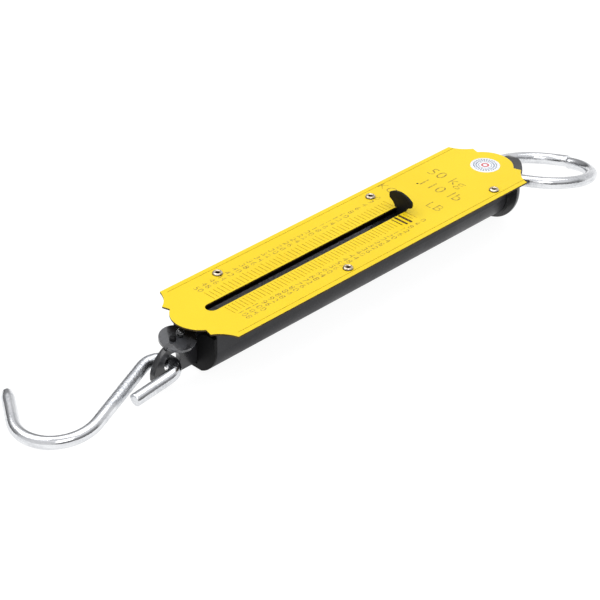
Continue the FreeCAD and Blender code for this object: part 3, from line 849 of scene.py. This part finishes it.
def stop_disc():
    """Pressed disc that leans a little, with a painted highlight on its round edge, and its two fasteners.
    """
    loops = [circle(DISC_X, 0, DISC_R, 72)]
    loops += [circle(x, 0, DISC_HOLE_R, 20) for x in (DISC_RIVET_X, DISC_PIN_X)]
    mesh = curve_mesh(flat_curve("disc", loops, BAR_TOP, BAR_TOP + DISC_T))
    lean = Matrix.Rotation(math.radians(DISC_TILT), 4, "X") @ Matrix.Translation((0, 0, -BAR_TOP * MM))
    mesh.transform(Matrix.Translation((0, 0, (BAR_TOP + DISC_LIFT) * MM)) @ lean)
    disc = finish_mesh(mesh, "stop_disc_pressed", [DISC, RIM_HIGHLIGHT])
    soften_edges(disc, 0.32, 3, material=1)
    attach(disc, "draw_bar")
    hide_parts("stop_disc")

    top = BAR_TOP + DISC_T
    shank = [(DISC_SHANK_R, top), (DISC_SHANK_R, BAR_TOP - DISC_SHANK_DEPTH)]
    ball = [(BALL_R * math.sin(math.radians(a)), top + BALL_UP + BALL_R * math.cos(math.radians(a)))
            for a in range(3, 147, 12)]
    head = [(0.05, top + 1.9), (1.1, top + 1.86), (1.4, top + 1.65), (1.5, top + 1.3), (1.5, top + 0.05)]
    build = Build()
    build.lathe(ball + shank, (DISC_RIVET_X, 0), 36)
    knob = build.object("stop_disc_rivet_ball", BALL, 60)
    build = Build()
    build.lathe(head + shank, (DISC_PIN_X, 0), 32)
    pin = build.object("stop_disc_pin_headed", MATTE, 50)
    for obj, node in ((knob, "stop_disc_rivet"), (pin, "stop_disc_pin")):
        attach(obj, "draw_bar")
        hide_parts(node)


def pointer():
    """Flat pointer, twisted a few degrees on its stem."""
    right = [(2.0, 19.6), (2.0, 26.45), (3.5, 26.55)]
    right += arc_points((3.5, 26.55), (4.7, 28.35), (7.2, 29.7), 6) + [(7.5, 31.1), (7.35, 32.6)]
    right += arc_points((7.35, 32.6), (4.2, 34.25), (0.0, 34.95), 9)
    outline = right + [(-y, z) for y, z in right[-2::-1]]
    mesh = curve_mesh(flat_curve("pointer", [outline], -POINTER_HALF_T, POINTER_HALF_T))
    upright = Matrix(((0, 0, 1, 0), (1, 0, 0, 0), (0, 1, 0, 0), (0, 0, 0, 1)))
    turn = Matrix.Rotation(math.radians(-POINTER_TURN), 4, "Z")
    mesh.transform(Matrix.Translation((POINTER_X * MM, 0, 0)) @ turn @ upright)
    made = finish_mesh(mesh, "pointer_blade", [MATTE])
    soften_edges(made, 0.15, 2)
    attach(made, "draw_bar")
    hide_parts("pointer")


# ---------------------------------------------------------------- camera, floor and light

def camera():
    right = Vector(CAMERA_RIGHT).normalized()
    ahead = Vector(CAMERA_AHEAD).normalized()
    up = right.cross(ahead).normalized()
    data = bpy.data.cameras.new("camera")
    data.sensor_width = CAMERA_SENSOR
    data.lens = CAMERA_PIXELS / 600 * CAMERA_SENSOR
    data.clip_start = 0.02
    data.clip_end = 20.0
    obj = bpy.data.objects.new("camera", data)
    turn = Matrix((right, up, -ahead)).transposed().to_4x4()
    obj.matrix_world = Matrix.Translation(CAMERA_AT) @ turn
    bpy.context.scene.collection.objects.link(obj)
    bpy.context.scene.camera = obj


def floor():
    mesh = bpy.data.meshes.new("floor")
    half = FLOOR_HALF
    corners = [(x, y, FLOOR_Z) for x, y in ((-half, -half), (half, -half), (half, half), (-half, half))]
    mesh.from_pydata(corners, [], [(0, 1, 2, 3)])
    obj = bpy.data.objects.new("floor", mesh)
    bpy.context.scene.collection.objects.link(obj)
    s = Shader("pale_floor", Roughness=0.9, Specular_IOR_Level=0.1)
    s.bsdf.inputs["Base Color"].default_value = (0.16, 0.16, 0.162, 1)
    s.bsdf.inputs["Emission Color"].default_value = (1, 1, 1, 1)
    s.bsdf.inputs["Emission Strength"].default_value = 0.92
    mesh.materials.append(s.mat)


def area_light(name, place, size, power):
    """White area light aimed at the middle of the object."""
    data = bpy.data.lights.new(name, "AREA")
    data.shape = "RECTANGLE"
    data.size, data.size_y = size
    data.energy = power
    obj = bpy.data.objects.new(name, data)
    obj.location = place
    obj.rotation_euler = (-Vector(place)).to_track_quat("-Z", "Y").to_euler()
    bpy.context.scene.collection.objects.link(obj)


def lights():
    area_light("key", (-0.5, 0.9, 1.5), (1.4, 1.0), 11.0)
    area_light("fill", (-1.0, -1.2, 1.4), (1.0, 1.0), 6.5)
    area_light("top", (0.4, 0.1, 1.8), (1.4, 1.4), 10.0)
    studio_world()
    bpy.context.scene.view_settings.view_transform = "Standard"
    bpy.context.scene.view_settings.look = "None"


def studio_world():
    """Dim at the horizon along Y, bright above and towards both ends of X."""
    world = bpy.data.worlds.new("studio")
    world.use_nodes = True
    tree = world.node_tree
    background = tree.nodes["Background"]
    coords = tree.nodes.new("ShaderNodeTexCoord")
    split = tree.nodes.new("ShaderNodeSeparateXYZ")
    ramp = tree.nodes.new("ShaderNodeValToRGB")
    tree.links.new(coords.outputs["Generated"], split.inputs["Vector"])
    tree.links.new(split.outputs["Z"], ramp.inputs["Fac"])
    sideways = tree.nodes.new("ShaderNodeMath")
    sideways.operation = "ABSOLUTE"
    tree.links.new(split.outputs["X"], sideways.inputs[0])
    ends = tree.nodes.new("ShaderNodeMapRange")
    ends.inputs["From Min"].default_value = 0.64
    ends.inputs["From Max"].default_value = 0.84
    tree.links.new(sideways.outputs["Value"], ends.inputs["Value"])
    lift = tree.nodes.new("ShaderNodeMixRGB")
    lift.inputs["Color2"].default_value = (0.95, 0.95, 0.96, 1)
    tree.links.new(ends.outputs["Result"], lift.inputs["Fac"])
    tree.links.new(ramp.outputs["Color"], lift.inputs["Color1"])
    tree.links.new(lift.outputs["Color"], background.inputs["Color"])
    levels = ((0.0, 0.10), (0.12, 0.12), (0.30, 0.34), (0.50, 0.42), (0.66, 0.95), (0.85, 1.0), (0.97, 0.8))
    set_stops(ramp.color_ramp, [(at, (level, level, level * 1.02)) for at, level in levels])
    background.inputs["Strength"].default_value = 0.9
    bpy.context.scene.world = world


# ---------------------------------------------------------------- the object

engraved_plate()
load_hook()
suspension_ring()
main_spring()
face_eyelets()
inspection_label()
stop_disc()
pointer()
cad("housing_channel", HOUSING, bevel=0.25)
cad("bottom_end_cap", SHADED_CAP, bevel=0.25)
cad("top_end_cap", CAP, bevel=0.4)
cad("hanger_bar", DARK, bevel=0.35)
cad("draw_bar", DARK, bevel=0.35)
cad("pointer_pin", STEEL)
cad("hanger_pin", STEEL)
cad("draw_bar_pin", STEEL)
cad("upper_spring_plug", STEEL, bevel=0.3)
cad("lower_spring_plug", STEEL, bevel=0.3)
camera()
floor()
lights()
